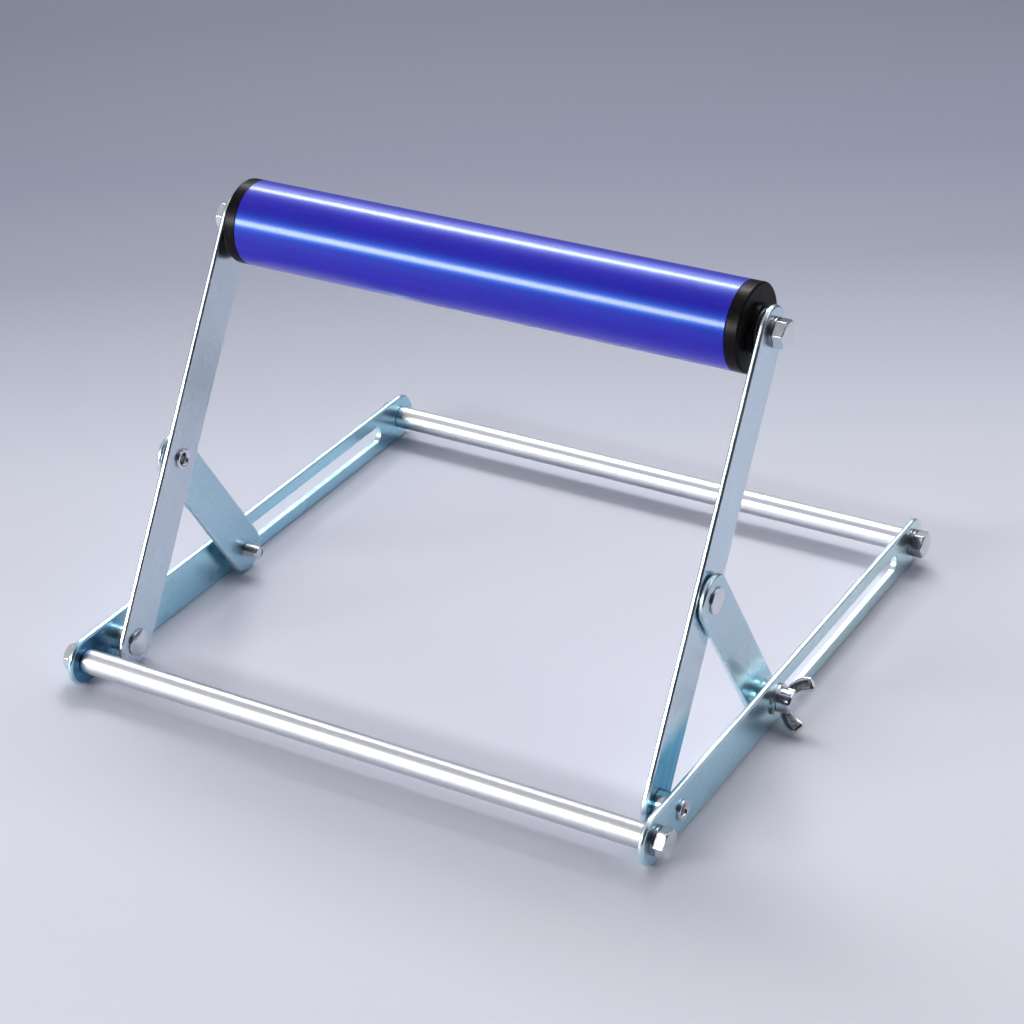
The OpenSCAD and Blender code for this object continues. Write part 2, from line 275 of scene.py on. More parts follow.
def thread(low, high):
    """Screw thread from low to high along Z, cut back to a chamfer at its lower tip"""
    bm = bmesh.new()
    steps_a_turn = 30
    turns = (high - low) / THREAD_PITCH
    inside = THREAD_ROOT - 0.12
    foot, crest = 0.36, 0.05
    section = [(inside, -foot), (THREAD_R, -crest), (THREAD_R, crest), (inside, foot)]
    verts = [bm.verts.new((r, 0, low + h)) for r, h in section]
    edges = [bm.edges.new((verts[k], verts[(k + 1) % 4])) for k in range(4)]
    sweep(bm, verts + edges, FULL_TURN * turns, int(steps_a_turn * turns),
          climb=THREAD_PITCH / steps_a_turn)
    close_ends(bm)
    least = 1.6
    for v in bm.verts:
        room = THREAD_ROOT - 0.15 + v.co.z - low + 0.1
        across = v.co.xy.length
        if across > room:
            v.co.xy *= max(room, least) / across
    return bm


def shank(bm, bottom, top, thread_top):
    """Adds a threaded shank with a chamfered tip, from its bottom up into the head"""
    plain = THREAD_R - 0.02
    core = bmesh.new()
    revolve(core, [
        (0, bottom), (TIP_R, bottom), (THREAD_ROOT, bottom + 0.22),
        (THREAD_ROOT, thread_top), (plain, thread_top + 0.3), (plain, top), (0, top),
    ], steps=60)
    join(bm, core)
    join(bm, thread(bottom + 0.12, thread_top - 0.2))


def note_pattern(bm, along, piece_number):
    """Keeps each point's own place on its piece, the length first, for the finishes"""
    layer = bm.verts.layers.float_vector.new("pattern")
    shift = Vector((41.3, 17.9, 29.1)) * piece_number
    for v in bm.verts:
        own = (v.co.z, v.co.x, v.co.y) if along == "z" else v.co
        v[layer] = Vector(own) + shift


pieces_made = []


def stand_piece(bm, node, where, finish, along="z", weighted=True):
    """Puts a drawn shape in its place, where it stands for its CAD node"""
    pieces_made.append(node)
    bm.verts.ensure_lookup_table()
    note_pattern(bm, along, len(pieces_made))
    bm.transform(Matrix.Scale(MM, 4) @ where)
    for f in bm.faces:
        f.smooth = True
    name = node + "_detail"
    mesh = bpy.data.meshes.new(name)
    bm.to_mesh(mesh)
    bm.free()
    mesh.materials.append(finish)
    piece = bpy.data.objects.new(name, mesh)
    bpy.context.scene.collection.objects.link(piece)
    if weighted:
        shading = piece.modifiers.new("even_shading", "WEIGHTED_NORMAL")
        shading.mode = "FACE_AREA"
        shading.keep_sharp = False
    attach(piece, frame["nodes"][node]["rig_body"])
    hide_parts(node)


# ---- Finishes -------------------------------------------------------------------------

def add(tree, kind, inputs=None, **settings):
    """Adds a node; an input given as a socket is linked, and anything else is its value"""
    made = tree.nodes.new(kind)
    for key, value in settings.items():
        setattr(made, key, value)
    for key, value in (inputs or {}).items():
        if isinstance(value, bpy.types.NodeSocket):
            tree.links.new(value, made.inputs[key])
        else:
            made.inputs[key].default_value = value
    return made


def new_group(name, inputs, outputs):
    """Empty node group with named inputs and outputs"""
    tree = bpy.data.node_groups.new(name, "ShaderNodeTree")
    for label, kind, value in inputs:
        socket = tree.interface.new_socket(
            label, in_out="INPUT", socket_type="NodeSocket" + kind)
        if value is not None:
            socket.default_value = value
    for label in outputs:
        tree.interface.new_socket(label, in_out="OUTPUT", socket_type="NodeSocketFloat")
    given = tree.nodes.new("NodeGroupInput").outputs
    result = tree.nodes.new("NodeGroupOutput").inputs
    return tree, given, result


def place_group(tree, group, **values):
    """Puts a node group in a material with its own values"""
    return add(tree, "ShaderNodeGroup", values, node_tree=group).outputs


def math_node(tree, operation, first, second=0.0, third=0.0, clamp=False):
    """One sum on values"""
    return add(tree, "ShaderNodeMath", {0: first, 1: second, 2: third},
               operation=operation, use_clamp=clamp).outputs[0]


def level(tree, value, low, high, from_low, from_high, smooth=False):
    """Turns a pattern value into the range that a socket needs"""
    return add(tree, "ShaderNodeMapRange",
               {"Value": value, "From Min": from_low, "From Max": from_high,
                "To Min": low, "To Max": high},
               interpolation_type="SMOOTHSTEP" if smooth else "LINEAR").outputs[0]


# Sockets of a colour mix, whose names its other kinds of mix share
MIX_SHARE, MIX_FIRST, MIX_SECOND, MIX_RESULT = 0, 6, 7, 2


def blend(tree, share, first, second):
    """Mixes two colours by a share"""
    first, second = [colour if isinstance(colour, bpy.types.NodeSocket) else (*colour, 1)
                     for colour in (first, second)]
    mix = {MIX_SHARE: share, MIX_FIRST: first, MIX_SECOND: second}
    return add(tree, "ShaderNodeMix", mix, data_type="RGBA").outputs[MIX_RESULT]


def noise(tree, position, scale, detail, roughness=0.5, distortion=0.0):
    """Soft uneven pattern from 0 to 1"""
    return add(tree, "ShaderNodeTexNoise",
               {"Vector": position, "Scale": scale, "Detail": detail,
                "Roughness": roughness, "Distortion": distortion}).outputs[0]


def stretched(tree, position, length, width):
    """Position scaled so that a pattern is long along the piece and narrow across it"""
    lengthwise = math_node(tree, "DIVIDE", 1.0, length)
    crosswise = math_node(tree, "DIVIDE", 1.0, width)
    scale = add(tree, "ShaderNodeCombineXYZ",
                {"X": lengthwise, "Y": crosswise, "Z": crosswise}).outputs[0]
    return add(tree, "ShaderNodeVectorMath", {0: position, 1: scale},
               operation="MULTIPLY").outputs[0]


def make_drawn_lines():
    """Fine lines that rolling or drawing leaves along a metal or moulded piece"""
    tree, given, result = new_group(
        "drawn_lines",
        [("Position", "Vector", None), ("Length", "Float", 40.0), ("Width", "Float", 0.3)],
        ["Lines", "Broad"],
    )
    wide = math_node(tree, "MULTIPLY", given["Width"], 7.0)
    fine_place = stretched(tree, given["Position"], given["Length"], given["Width"])
    broad_place = stretched(tree, given["Position"], given["Length"], wide)
    tree.links.new(noise(tree, fine_place, 1.0, 4.0, 0.65), result["Lines"])
    tree.links.new(noise(tree, broad_place, 1.0, 2.0), result["Broad"])
    return tree


def make_soft_clouds():
    """Slow change of tone over a surface, as plating and coating have"""
    tree, given, result = new_group(
        "soft_clouds",
        [("Position", "Vector", None), ("Size", "Float", 20.0), ("Contrast", "Float", 2.0)],
        ["Clouds", "Ripple"],
    )
    own = stretched(tree, given["Position"], given["Size"], given["Size"])
    cloud = noise(tree, own, 1.0, 3.0, 0.55, 0.4)
    centred = math_node(tree, "SUBTRACT", cloud, 0.5)
    spread = math_node(tree, "MULTIPLY_ADD", centred, given["Contrast"], 0.5, clamp=True)
    tree.links.new(spread, result["Clouds"])
    tree.links.new(noise(tree, own, 3.1, 1.0, 0.4), result["Ripple"])
    return tree


def make_hairlines():
    """Sparse thin scratches from handling, in two directions"""
    tree, given, result = new_group(
        "hairlines",
        [("Position", "Vector", None), ("Spacing", "Float", 9.0), ("Amount", "Float", 0.5)],
        ["Scratches"],
    )
    wide = math_node(tree, "MULTIPLY", given["Spacing"], 24.0)
    directions = []
    for angle, offset in ((0.45, 0.0), (-0.9, 23.0)):
        turned = add(tree, "ShaderNodeVectorRotate",
                     {"Vector": given["Position"], "Angle": angle},
                     rotation_type="Z_AXIS").outputs[0]
        moved = add(tree, "ShaderNodeVectorMath", {0: turned, 1: (offset, offset, 0.0)},
                    operation="ADD").outputs[0]
        wave = noise(tree, stretched(tree, moved, wide, given["Spacing"]), 2.0, 2.0)
        near = math_node(tree, "ABSOLUTE", math_node(tree, "SUBTRACT", wave, 0.5))
        line = level(tree, near, 1.0, 0.0, 0.0, 0.005)
        here = level(tree, noise(tree, moved, 0.11, 1.0), 0.0, 1.0, 0.56, 0.62)
        directions.append(math_node(tree, "MULTIPLY", line, here))
    both = math_node(tree, "MAXIMUM", *directions)
    tree.links.new(math_node(tree, "MULTIPLY", both, given["Amount"]), result["Scratches"])
    return tree


def make_skin_grain():
    """Fine pebbled skin of a casting, a coating or a moulding"""
    tree, given, result = new_group(
        "skin_grain",
        [("Position", "Vector", None), ("Size", "Float", 0.3)],
        ["Grain", "Pores"],
    )
    own = stretched(tree, given["Position"], given["Size"], given["Size"])
    cells = add(tree, "ShaderNodeTexVoronoi", {"Vector": own, "Scale": 0.8}, feature="F1")
    pores = level(tree, cells.outputs["Distance"], 1.0, 0.0, 0.05, 0.35)
    tree.links.new(noise(tree, own, 1.0, 3.0, 0.6), result["Grain"])
    tree.links.new(pores, result["Pores"])
    return tree


def make_rim_wear():
    """Broken brighter line where an edge of the piece has been rubbed"""
    tree, given, result = new_group(
        "rim_wear",
        [("Position", "Vector", None), ("Rim", "Float", 0.0), ("Amount", "Float", 0.6)],
        ["Wear"],
    )
    patchy = level(tree, noise(tree, given["Position"], 0.6, 3.0), 0.0, 1.0, 0.35, 0.6)
    mask = math_node(tree, "MULTIPLY", given["Rim"], patchy)
    tree.links.new(math_node(tree, "MULTIPLY", mask, given["Amount"]), result["Wear"])
    return tree


drawn_lines = make_drawn_lines()
soft_clouds = make_soft_clouds()
hairlines = make_hairlines()
skin_grain = make_skin_grain()
rim_wear = make_rim_wear()


def start_finish(name):
    """New material with its shader, and its position on the piece"""
    material = bpy.data.materials.new(name)
    material.use_nodes = True
    tree = material.node_tree
    shader = tree.nodes["Principled BSDF"]
    place = add(tree, "ShaderNodeAttribute", attribute_name="pattern").outputs["Vector"]
    return material, tree, shader, place


def feed(shader, socket, value):
    """Links a pattern to one of the shader's sockets"""
    shader.id_data.links.new(value, shader.inputs[socket])


def bump(tree, shader, height, distance, strength):
    """Gives a height in millimetres of relief to the shader's normal"""
    relief = add(tree, "ShaderNodeBump",
                 {"Height": height, "Distance": distance * MM, "Strength": strength})
    feed(shader, "Normal", relief.outputs[0])


def times(tree, value, share):
    """A pattern at part of its strength"""
    return math_node(tree, "MULTIPLY", value, share)


def plus(tree, first, second):
    """Two patterns together"""
    return math_node(tree, "ADD", first, second)


def strip_zinc(name, deep, pale, foot, axis, start, end):
    """Blue-bright zinc plating on rolled flat strip; the foot of its right-hand face,
    up to a place on the given axis, carries painted reflection and shade in a colour of its own"""
    material, tree, shader, place = start_finish(name)
    rim = add(tree, "ShaderNodeAttribute", attribute_name="rim").outputs["Fac"]
    lines = place_group(tree, drawn_lines, Position=place, Length=90.0, Width=0.24)
    tones = place_group(tree, soft_clouds, Position=place, Size=46.0, Contrast=1.5)
    marks = place_group(tree, hairlines, Position=place, Spacing=8.0, Amount=0.11)
    wear = place_group(tree, rim_wear, Position=place, Rim=rim, Amount=0.45)["Wear"]

    # Painted reflection and shade: on the right-hand face, up to the given place, the foot
    # colour stands in for the shaded floor and plates that the face reflects there
    own_place = add(tree, "ShaderNodeTexCoord").outputs["Object"]
    along = add(tree, "ShaderNodeSeparateXYZ", {"Vector": own_place}).outputs[axis]
    past_painted_foot = level(tree, along, 0.0, 1.0, start * MM, end * MM, smooth=True)
    facing = add(tree, "ShaderNodeNewGeometry").outputs["Normal"]
    to_right = add(tree, "ShaderNodeSeparateXYZ", {"Vector": facing}).outputs["X"]
    other_face = level(tree, to_right, 1.0, 0.0, 0.4, 0.8)
    plain = math_node(tree, "MAXIMUM", past_painted_foot, math_node(tree, "MAXIMUM", rim, other_face))

    tone = blend(tree, plain, foot, blend(tree, tones["Clouds"], deep, pale))
    streaks = level(tree, lines["Broad"], 0.0, 0.08, 0.4, 0.65)
    lined = blend(tree, streaks, tone, (0.78, 0.87, 0.93))
    worn = blend(tree, wear, lined, (0.88, 0.90, 0.92))
    feed(shader, "Base Color", blend(tree, marks["Scratches"], worn, (0.84, 0.88, 0.92)))
    shader.inputs["Metallic"].default_value = 1.0
    fine = level(tree, lines["Lines"], 0.235, 0.265, 0.3, 0.7)
    smudged = plus(tree, fine, level(tree, tones["Ripple"], -0.02, 0.05, 0.35, 0.65))
    feed(shader, "Roughness", plus(tree, smudged, times(tree, marks["Scratches"], 0.08)))
    height = plus(tree, times(tree, lines["Lines"], 0.006), times(tree, tones["Ripple"], 1.6))
    bump(tree, shader, height, 0.12, 0.4)
    return material


def bright_rod():
    """Bright drawn round bar"""
    material, tree, shader, place = start_finish("bright_rod")
    lines = place_group(tree, drawn_lines, Position=place, Length=120.0, Width=0.16)
    tones = place_group(tree, soft_clouds, Position=place, Size=14.0, Contrast=1.8)
    marks = place_group(tree, hairlines, Position=place, Spacing=5.0, Amount=0.5)
    tone = blend(tree, tones["Clouds"], (0.74, 0.76, 0.785), (0.82, 0.835, 0.85))
    streaks = level(tree, lines["Lines"], 0.0, 0.3, 0.45, 0.75)
    lined = blend(tree, streaks, tone, (0.62, 0.65, 0.68))
    feed(shader, "Base Color", blend(tree, marks["Scratches"], lined, (0.93, 0.94, 0.95)))
    shader.inputs["Metallic"].default_value = 1.0
    fine = level(tree, lines["Lines"], 0.26, 0.35, 0.3, 0.7)
    feed(shader, "Roughness", plus(tree, fine, times(tree, marks["Scratches"], 0.12)))
    bump(tree, shader, plus(tree, times(tree, lines["Lines"], 0.10), tones["Ripple"]), 0.05, 0.5)
    return material


def fastener_zinc():
    """Bright zinc on cold-formed bolts, washers and rivets"""
    material, tree, shader, place = start_finish("fastener_zinc")
    tones = place_group(tree, soft_clouds, Position=place, Size=4.0, Contrast=2.2)
    skin = place_group(tree, skin_grain, Position=place, Size=0.22)
    marks = place_group(tree, hairlines, Position=place, Spacing=2.6, Amount=0.4)
    tone = blend(tree, tones["Clouds"], (0.71, 0.74, 0.77), (0.86, 0.88, 0.89))
    feed(shader, "Base Color", blend(tree, marks["Scratches"], tone, (0.88, 0.89, 0.90)))
    shader.inputs["Metallic"].default_value = 1.0
    feed(shader, "Roughness", level(tree, skin["Grain"], 0.15, 0.23, 0.3, 0.7))
    bump(tree, shader, plus(tree, times(tree, skin["Grain"], 0.03), tones["Ripple"]), 0.08, 0.4)
    return material


def spring_steel_and_shade():
    """Dark oiled spring steel of the split washers, darkened further as painted shade for the
    gap under each bolt head
    """
    material, tree, shader, place = start_finish("spring_steel_and_shade")
    tones = place_group(tree, soft_clouds, Position=place, Size=2.4, Contrast=2.0)
    skin = place_group(tree, skin_grain, Position=place, Size=0.25)
    marks = place_group(tree, hairlines, Position=place, Spacing=2.4, Amount=0.5)
    # Dark tones: partly the oiled steel's own colour, partly painted shade under the bolt heads
    tone = blend(tree, tones["Clouds"], (0.20, 0.21, 0.23), (0.36, 0.38, 0.41))
    feed(shader, "Base Color", blend(tree, marks["Scratches"], tone, (0.70, 0.72, 0.74)))
    shader.inputs["Metallic"].default_value = 1.0
    feed(shader, "Roughness", level(tree, skin["Grain"], 0.20, 0.34, 0.3, 0.7))
    bump(tree, shader, plus(tree, skin["Grain"], tones["Ripple"]), 0.02, 0.4)
    return material


def cast_bright():
    """Plated casting of the wing screws"""
    material, tree, shader, place = start_finish("cast_bright")
    tones = place_group(tree, soft_clouds, Position=place, Size=3.2, Contrast=2.2)
    skin = place_group(tree, skin_grain, Position=place, Size=0.35)
    marks = place_group(tree, hairlines, Position=place, Spacing=2.5, Amount=0.6)
    tone = blend(tree, tones["Clouds"], (0.62, 0.65, 0.68), (0.80, 0.82, 0.84))
    pits = level(tree, skin["Pores"], 0.0, 0.25, 0.6, 1.0)
    pitted = blend(tree, pits, tone, (0.45, 0.47, 0.50))
    feed(shader, "Base Color", blend(tree, marks["Scratches"], pitted, (0.92, 0.93, 0.94)))
    shader.inputs["Metallic"].default_value = 1.0
    feed(shader, "Roughness", level(tree, skin["Grain"], 0.08, 0.22, 0.3, 0.7))
    bump(tree, shader, plus(tree, times(tree, skin["Grain"], 0.10), tones["Ripple"]), 0.09, 0.5)
    return material


def roller_blue():
    """Glossy deep blue coating on the roller tube"""
    material, tree, shader, place = start_finish("roller_blue")
    lines = place_group(tree, drawn_lines, Position=place, Length=90.0, Width=0.35)
    tones = place_group(tree, soft_clouds, Position=place, Size=18.0, Contrast=1.8)
    marks = place_group(tree, hairlines, Position=place, Spacing=6.0, Amount=0.35)
    skin = place_group(tree, skin_grain, Position=place, Size=0.5)
    tone = blend(tree, tones["Clouds"], (0.019, 0.001, 0.44), (0.026, 0.0015, 0.52))
    streaks = level(tree, lines["Lines"], 0.0, 0.6, 0.45, 0.75)
    lined = blend(tree, streaks, tone, (0.030, 0.003, 0.60))
    feed(shader, "Base Color", blend(tree, marks["Scratches"], lined, (0.06, 0.06, 0.80)))
    feed(shader, "Roughness", level(tree, lines["Lines"], 0.35, 0.43, 0.3, 0.7))
    shader.inputs["IOR"].default_value = 1.55
    shader.inputs["Specular Tint"].default_value = (0.01, 0.35, 1.0, 1)
    shader.inputs["Coat IOR"].default_value = 1.35
    shader.inputs["Coat Roughness"].default_value = 0.19
    shader.inputs["Coat Weight"].default_value = 0.65
    height = plus(tree, times(tree, lines["Lines"], 0.12), times(tree, skin["Grain"], 0.25))
    bump(tree, shader, plus(tree, height, tones["Ripple"]), 0.04, 0.5)
    return material


def cap_black():
    """Black moulded plastic of the roller's end caps"""
    material, tree, shader, place = start_finish("cap_black")
    tones = place_group(tree, soft_clouds, Position=place, Size=6.0, Contrast=1.8)
    skin = place_group(tree, skin_grain, Position=place, Size=0.16)
    marks = place_group(tree, hairlines, Position=place, Spacing=3.0, Amount=0.5)
    tone = blend(tree, tones["Clouds"], (0.004, 0.003, 0.004), (0.010, 0.008, 0.009))
    feed(shader, "Base Color", blend(tree, marks["Scratches"], tone, (0.05, 0.045, 0.045)))
    shader.inputs["IOR"].default_value = 1.4
    shader.inputs["Specular IOR Level"].default_value = 0.1
    skin_level = level(tree, skin["Grain"], 0.26, 0.40, 0.3, 0.7)
    smudges = level(tree, tones["Ripple"], -0.05, 0.06, 0.3, 0.7)
    feed(shader, "Roughness", plus(tree, skin_level, smudges))
    bump(tree, shader, skin["Grain"], 0.03, 0.5)
    return material


def bush_plastic():
    """Dark grey bearing plastic of the axle bushes"""
    material, tree, shader, place = start_finish("bush_plastic")
    tones = place_group(tree, soft_clouds, Position=place, Size=5.0, Contrast=1.8)
    skin = place_group(tree, skin_grain, Position=place, Size=0.2)
    tone = blend(tree, tones["Clouds"], (0.016, 0.016, 0.018), (0.030, 0.029, 0.031))
    feed(shader, "Base Color", tone)
    feed(shader, "Roughness", level(tree, skin["Grain"], 0.35, 0.55, 0.3, 0.7))
    bump(tree, shader, skin["Grain"], 0.03, 0.5)
    return material


# Each strip's deeper and paler tint, the colour of the painted reflection and shade on its foot,
# and where that foot ends
bar_finish = {
    LEFT: strip_zinc("bar_zinc_left", (0.41, 0.76, 0.92), (0.54, 0.87, 0.98),
                     (0.09, 0.27, 0.46), "Y", -88, -72),
    # The right base bar's tints are painted lighter than the left's, standing in for light its
    # outer face loses by reflecting the shaded floor beside it
    RIGHT: strip_zinc("bar_zinc_right", (0.70, 0.95, 0.99), (0.79, 0.98, 0.99),
                      (0.56, 0.86, 0.98), "Y", -70, 45),
}
arm_finish = {
    LEFT: strip_zinc("arm_zinc_left", (0.57, 0.65, 0.72), (0.69, 0.76, 0.82),
                     (0.65, 0.79, 0.86), "Z", 5, 50),
    RIGHT: strip_zinc("arm_zinc_right", (0.59, 0.75, 0.84), (0.75, 0.86, 0.93),
                      (0.050, 0.25, 0.38), "Z", 22, 31),
}
strut_finish = {
    LEFT: strip_zinc("strut_zinc_left", (0.43, 0.65, 0.75), (0.54, 0.75, 0.84),
                     (0.34, 0.58, 0.70), "Z", 2, 40),
    RIGHT: strip_zinc("strut_zinc_right", (0.48, 0.68, 0.77), (0.63, 0.78, 0.85),
                      (0.52, 0.71, 0.79), "Z", 5, 40),
}
rod_finish = bright_rod()
fastener_finish = fastener_zinc()
spring_and_shade_finish = spring_steel_and_shade()
cast_finish = cast_bright()
blue_finish = roller_blue()
black_finish = cap_black()
bush_finish = bush_plastic()


# ---- Pieces ---------------------------------------------------------------------------

# Round bars with tapped ends
ROD_R = 4.0
TAP_DEPTH = 14.0

# M5 hexagon bolt and the split washer under its head
HEAD_FLAT_R = 4.0
HEAD_H = 3.5
BOLT_LENGTH = 14.2
SPRING_T = 1.2

# Roller: its tube, and how far caps and bushes reach into and past the tube's end
TUBE_R = 13.5
TUBE_BORE_R = 12.0
CAP_DEPTH = 12.0
CAP_HUB = 5.8

# Sections along one wing of a wing screw: reach, rise, tilt in degrees, breadth, thickness
WING_SECTIONS = (
    (0.8, 1.9, 20, 3.6, 3.2),
    (2.8, 2.6, 24, 3.9, 3.0),
    (4.4, 3.6, 34, 4.3, 2.8),
    (5.7, 5.0, 46, 4.7, 2.7),
    (6.5, 6.5, 54, 4.9, 2.65),
    (6.9, 7.7, 58, 4.7, 2.6),
    (7.05, 8.4, 59, 3.9, 2.3),
    (7.1, 8.8, 59, 2.4, 1.7),
)


def draw_base_bar(name, side):
    """Strip on edge with both bolt holes, the arm's rivet hole and the long slot"""
    bm = bmesh.new()
    rivet_hole = 16.0
    strip(bm, 2 * ROD_Y, BAR_H, [
        (0.0, 0.0, BOLT_HOLE_R),
        (rivet_hole, rivet_hole, PRESSED_HOLE_R),
        SLOT,
        (2 * ROD_Y, 2 * ROD_Y, BOLT_HOLE_R),
    ], inset=0.02)
    where = leaning(side, BAR_IN, -ROD_Y, AXIS_Z, 0)
    stand_piece(bm, name, where, bar_finish[side], "x")


def draw_arm(name, side):
    """Strip from the pivot rivet past the middle rivet to the roller's axle"""
    bm = bmesh.new()
    strip(bm, ARM_REACH, LINK_W, [
        (0.0, 0.0, TURNING_HOLE_R),
        (LINK, LINK, PRESSED_HOLE_R),
        (ARM_REACH, ARM_REACH, BOLT_HOLE_R),
    ])
    where = leaning(side, ARM_IN, PIVOT_Y, AXIS_Z, LEAN)
    stand_piece(bm, name, where, arm_finish[side], "x")


def draw_strut(name, side):
    """Short link with a collar drawn up round the tapped hole of its wing screw"""
    bm = bmesh.new()
    strip(bm, LINK, LINK_W, [(0.0, 0.0, TURNING_HOLE_R), (LINK, LINK, TAPPED_HOLE_R)])
    collar = bmesh.new()
    bore, foot_r, foot_z, top_z, fillet = 2.56, 5.1, PLATE_T - 0.3, 4.8, 0.6
    foot = arc((foot_r, PLATE_T + fillet), fillet, 270, 180, 4)
    revolve(collar, [(bore, foot_z), (foot_r, foot_z), *foot, (foot_r - fillet, top_z),
                     (bore, top_z)], closed=True)
    soften(collar, 0.15, 2)
    bmesh.ops.translate(collar, vec=(LINK, 0, 0), verts=collar.verts)
    join(bm, collar)
    where = leaning(side, STRUT_IN, *MIDDLE, -LEAN)
    stand_piece(bm, name, where, strut_finish[side], "x")


def draw_tapped_bar(name, half_length, y, z):
    """Round bar with a chamfered tapped hole in each end"""
    bm = bmesh.new()
    end = [
        (0, TAP_DEPTH - half_length), (TAPPED_HOLE_R, TAP_DEPTH - half_length - 1.2),
        (TAPPED_HOLE_R, 0.4 - half_length), (2.95, -half_length),
        (ROD_R - 0.4, -half_length), (ROD_R, 0.4 - half_length),
    ]
    revolve(bm, end + [(r, -h) for r, h in reversed(end)], steps=128)
    soften(bm, 0.08, 2)
    stand_piece(bm, name, outward(RIGHT, 0, y, z), rod_finish)


def draw_hex_bolt(name, side, x, y, z, degrees):
    """Hexagon head with a chamfered crown on a threaded shank"""
    bm = bmesh.new()
    corner_r = HEAD_FLAT_R / math.cos(math.radians(30))
    foot = bmesh.ops.create_circle(bm, segments=6, radius=corner_r)["verts"]
    bmesh.ops.subdivide_edges(bm, edges=edges_at(foot), cuts=9)
    raised = bmesh.ops.extrude_edge_only(bm, edges=list(bm.edges))["geom"]
    shoulder = set(only(raised, VERT))
    for v in shoulder:
        v.co.z = HEAD_H - 0.58 * (v.co.xy.length - HEAD_FLAT_R) - 0.14
    rim = [e for e in bm.edges if all(v in shoulder for v in e.verts)]
    for v in only(bmesh.ops.extrude_edge_only(bm, edges=rim)["geom"], VERT):
        v.co.xy = v.co.xy.normalized() * (HEAD_FLAT_R - 0.25)
        v.co.z = HEAD_H
    close_ends(bm)
    soften(bm, 0.14, sharper_than=25)
    shank(bm, -BOLT_LENGTH, 0.2, -2.2)
    turn_in_view(bm, side, degrees)
    stand_piece(bm, name, outward(side, x, y, z), fastener_finish)


def draw_spring_washer(name, side, x, y, z, degrees):
    """Ring of square wire with a slanting split"""
    bm = bmesh.new()
    inner, outer, corner = 2.75, 4.5, 0.1
    middle_r = 3.6
    split = math.radians(14.5)
    slope = math.tan(math.radians(25))
    section = [
        (inner + corner, 0), (outer - corner, 0), (outer, corner), (outer, SPRING_T - corner),
        (outer - corner, SPRING_T), (inner + corner, SPRING_T), (inner, SPRING_T - corner),
        (inner, corner),
    ]
    verts = [bm.verts.new((r, 0, h)) for r, h in section]
    edges = [bm.edges.new((verts[k - 1], verts[k])) for k in range(len(verts))]
    turn(bm, split / 2)
    sweep(bm, verts + edges, FULL_TURN - split, 72)
    close_ends(bm)
    for v in bm.verts:
        slant = (v.co.z - SPRING_T / 2) * slope / middle_r
        v.co.rotate(Matrix.Rotation(slant, 3, "Z"))
    turn_in_view(bm, side, degrees)
    stand_piece(bm, name, outward(side, x, y, z), spring_and_shade_finish)


def draw_flat_washer(name, side, x, y, z, outer, inner, thick):
    """Flat ring with softened edges"""
    bm = bmesh.new()
    revolve(bm, [(inner, 0), (outer, 0), (outer, thick), (inner, thick)], closed=True)
    soften(bm, min(0.15, thick / 4), 2)
    stand_piece(bm, name, outward(side, x, y, z), fastener_finish)


def draw_rivet(name, side, x, y, z, head_r, head_h, grip, head_outside):
    """Tubular rivet: domed head below its foot, rolled rim past the plates, hollow end"""
    bm = bmesh.new()
    head_edge = 0.6
    dome = head_h - head_edge
    dome_r = (head_r * head_r + dome * dome) / 2 / dome
    spread = math.degrees(math.asin(head_r / dome_r))
    crown = arc((0, dome_r - head_h), dome_r, -90, -90 + spread, 10)
    rolled = arc((2.8, grip + 0.5), 0.5, -90, 90, 10)
    hollow = [
        (2.45, grip + 0.93), (2.13, grip + 0.72), (1.88, grip + 0.38), (1.74, grip - 0.1),
        (1.7, grip - 0.6), (1.7, grip - 3.0), (0, grip - 3.4),
    ]
    revolve(bm, crown + [(head_r, 0), (2.5, 0), (2.5, grip)] + rolled + hollow)
    soften(bm, 0.12)
    if head_outside:
        turn(bm, math.pi, "X")
    stand_piece(bm, name, outward(side, x, y, z), fastener_finish)


def wing(angle):
    """One wing of a wing screw, flaring and rising from the boss to a rounded tip"""
    bm = bmesh.new()
    squareness = 0.62
    rings = []
    for reach, rise, tilt, breadth, thick in WING_SECTIONS:
        along = Vector((math.cos(math.radians(tilt)), 0, math.sin(math.radians(tilt))))
        across = Vector((-along.z, 0, along.x))
        centre = Vector((reach, 0, rise))
        ring = bmesh.ops.create_circle(bm, segments=20, radius=1.0)["verts"]
        for v in ring:
            broad = math.copysign(abs(v.co.x) ** squareness, v.co.x) * breadth / 2
            deep = math.copysign(abs(v.co.y) ** squareness, v.co.y) * thick / 2
            v.co = centre + across * broad + Vector((0, 1, 0)) * deep
        rings.append(edges_at(ring))
    for first, second in zip(rings, rings[1:]):
        bmesh.ops.bridge_loops(bm, edges=first + second)
    close_ends(bm)
    turn(bm, angle)
    return bm


def melted(bm):
    """Melts overlapping shapes into one smooth skin, as a casting has"""
    rough = bpy.data.meshes.new("wing_blank")
    bm.to_mesh(rough)
    bm.free()
    blank = bpy.data.objects.new("wing_blank", rough)
    bpy.context.scene.collection.objects.link(blank)
    melt = blank.modifiers.new("melt", "REMESH")
    melt.mode = "VOXEL"
    melt.voxel_size = 0.12
    ease = blank.modifiers.new("ease", "SMOOTH")
    ease.factor = 0.5
    ease.iterations = 5
    bpy.context.view_layer.update()
    cast = blank.evaluated_get(bpy.context.evaluated_depsgraph_get())
    skin = bmesh.new()
    skin.from_mesh(cast.to_mesh())
    cast.to_mesh_clear()
    bpy.data.objects.remove(blank)
    bpy.data.meshes.remove(rough)
    return skin


